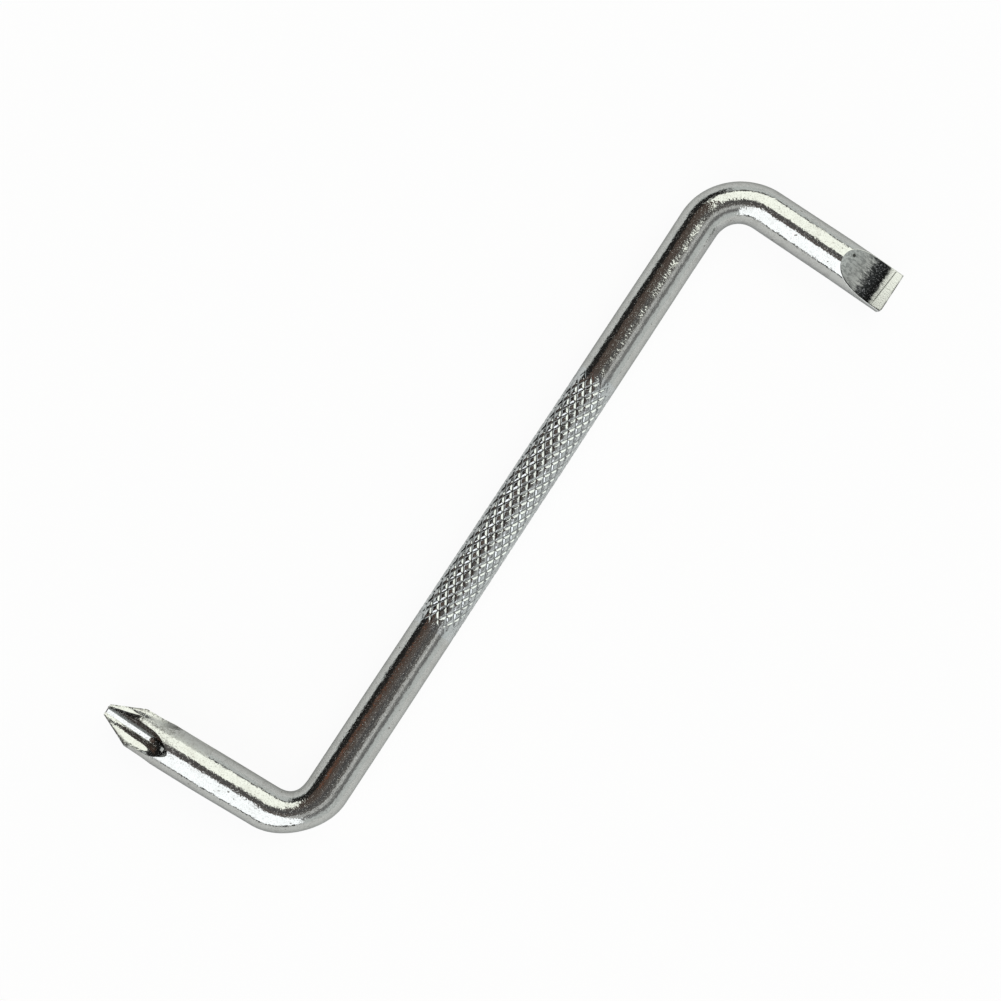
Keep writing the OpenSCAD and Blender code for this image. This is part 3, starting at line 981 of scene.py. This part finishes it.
# Angles between which the cool light ends at its lower edge
COOL_LOWEST = (84.7, 83.7)
# Plane from which the surroundings turn to the dark side, and its softness
DARK_EDGE = (-0.574, 0.819, 0.0)
DARK_EDGE_SOFTNESS = 0.06
# How the surroundings vary from place to place: the scale and the range of the noise, its strength
# high up and low down, and the angles between
CLUTTER_SCALE = 24.0
CLUTTER_RANGE = (0.36, 0.64, -1.0, 1.0)
CLUTTER_DEPTHS = (0.55, 0.10)
CLUTTER_ANGLES = (56, 64)
# A reddish brown thing on the dark side: its middle and reach along X, then in angle, and its colour
BROWN_PLACE = (-0.03, 0.09)
BROWN_HEIGHT = (41, 15)
BROWN = rgb(0.25, 0.105, 0.06)


def colour_by_angle(g, from_zenith, stops):
    """A colour by the angle from straight up, through the stops."""
    made = g.add("ShaderNodeValToRGB")
    elements = made.color_ramp.elements
    while len(elements) < len(stops):
        elements.new(0.5)
    for element, (angle, colour) in zip(elements, stops):
        element.position = angle / LOWEST_ANGLE
        element.color = rgb(*colour)
    g.feed(made.inputs[0], g.math("DIVIDE", from_zenith, LOWEST_ANGLE))
    return made.outputs[0]


def lit_side(g, ray, plane, softness=EDGE_SOFTNESS):
    """One on the lit side of a plane and zero on the other."""
    normal = Vector(plane).normalized()
    return g.ramp(g.dot(ray, tuple(normal)), -softness, softness)


def lit_sides(g, ray, planes):
    """One where a direction is on the lit side of every plane."""
    lit = lit_side(g, ray, planes[0])
    for plane in planes[1:]:
        lit = g.times(lit, lit_side(g, ray, plane))
    return lit


def studio():
    """Two large soft lights with a dark gap overhead, a dark side and pale low surroundings."""
    world = bpy.data.worlds.new("studio")
    bpy.context.scene.world = world
    world.use_nodes = True
    g = Graph(world.node_tree)
    ray = g.add("ShaderNodeTexCoord").outputs["Generated"]
    parts = g.split(ray)
    from_zenith = g.times(g.math("ARCCOSINE", parts[2]), math.degrees(1))
    brown = g.times(g.near(parts[0], *BROWN_PLACE), g.near(from_zenith, *BROWN_HEIGHT))
    dark_side = g.mix(brown, colour_by_angle(g, from_zenith, DARK_SIDE), BROWN)
    bright_side = colour_by_angle(g, from_zenith, BEHIND_LIGHTS)
    around = g.mix(lit_side(g, ray, DARK_EDGE, DARK_EDGE_SOFTNESS), bright_side, dark_side)
    clutter = g.ramp(g.noise(ray, CLUTTER_SCALE, 2.0, 0.6), *CLUTTER_RANGE)
    depth = g.ramp(from_zenith, *CLUTTER_ANGLES, *CLUTTER_DEPTHS)
    around = g.scaled(around, g.total(1.0, (clutter, depth)))
    warm_sides = lit_sides(g, ray, WARM_EDGES)
    cool_sides = lit_sides(g, ray, COOL_EDGES)
    warm = g.times(warm_sides, lit_side(g, ray, WARM_LOWEST))
    warm_rim = g.times(warm_sides, lit_side(g, ray, WARM_RIM, WARM_RIM_SOFTNESS))
    cool = g.times(cool_sides, g.ramp(from_zenith, *COOL_LOWEST))
    colour = g.mix(g.larger(warm_rim, cool_sides), around, LIGHT_RIM)
    colour = g.mix(warm, colour, WARM_LIGHT)
    colour = g.mix(cool, colour, COOL_LIGHT)
    background = g.add("ShaderNodeBackground", Color=colour, Strength=1.0)
    g.finish("ShaderNodeOutputWorld", background)


def camera():
    data = bpy.data.cameras.new("photo_camera")
    data.sensor_width = SENSOR
    data.lens = FOCAL_PIXELS / FRAME_PIXELS * SENSOR
    data.clip_start, data.clip_end = SIGHT_RANGE
    made = bpy.data.objects.new("photo_camera", data)
    made.location = CAMERA_PLACE
    made.rotation_euler = [math.radians(a) for a in CAMERA_TURN]
    bpy.context.scene.collection.objects.link(made)
    bpy.context.scene.camera = made


camera()
studio()
pale_floor()

plating = plated("plating", base=PLATING_COLOUR, stain=rgb(0.36, 0.355, 0.34), rough=(0.03, 0.07),
                 wave=30.0, peel=13.0, grain=10.0)
point = plated("point_plating", base=PLATING_COLOUR, stain=rgb(0.38, 0.37, 0.35), rough=(0.03, 0.07),
               wave=20.0, peel=9.0, grain=5.0)
knurl = plated("knurl_plating", base=rgb(0.60, 0.625, 0.635), stain=rgb(0.32, 0.325, 0.33),
               rough=(0.05, 0.12), wave=20.0, peel=13.0, grain=13.0)

bar_stretches(slotted, SLOTTED_THINNING, plating)
bar_stretches(phillips, PHILLIPS_THINNING, plating)
knurled_grip(knurl)
flat_blade(ground_steel())
cross_point(point)

bpy.context.scene.view_settings.view_transform = "Standard"
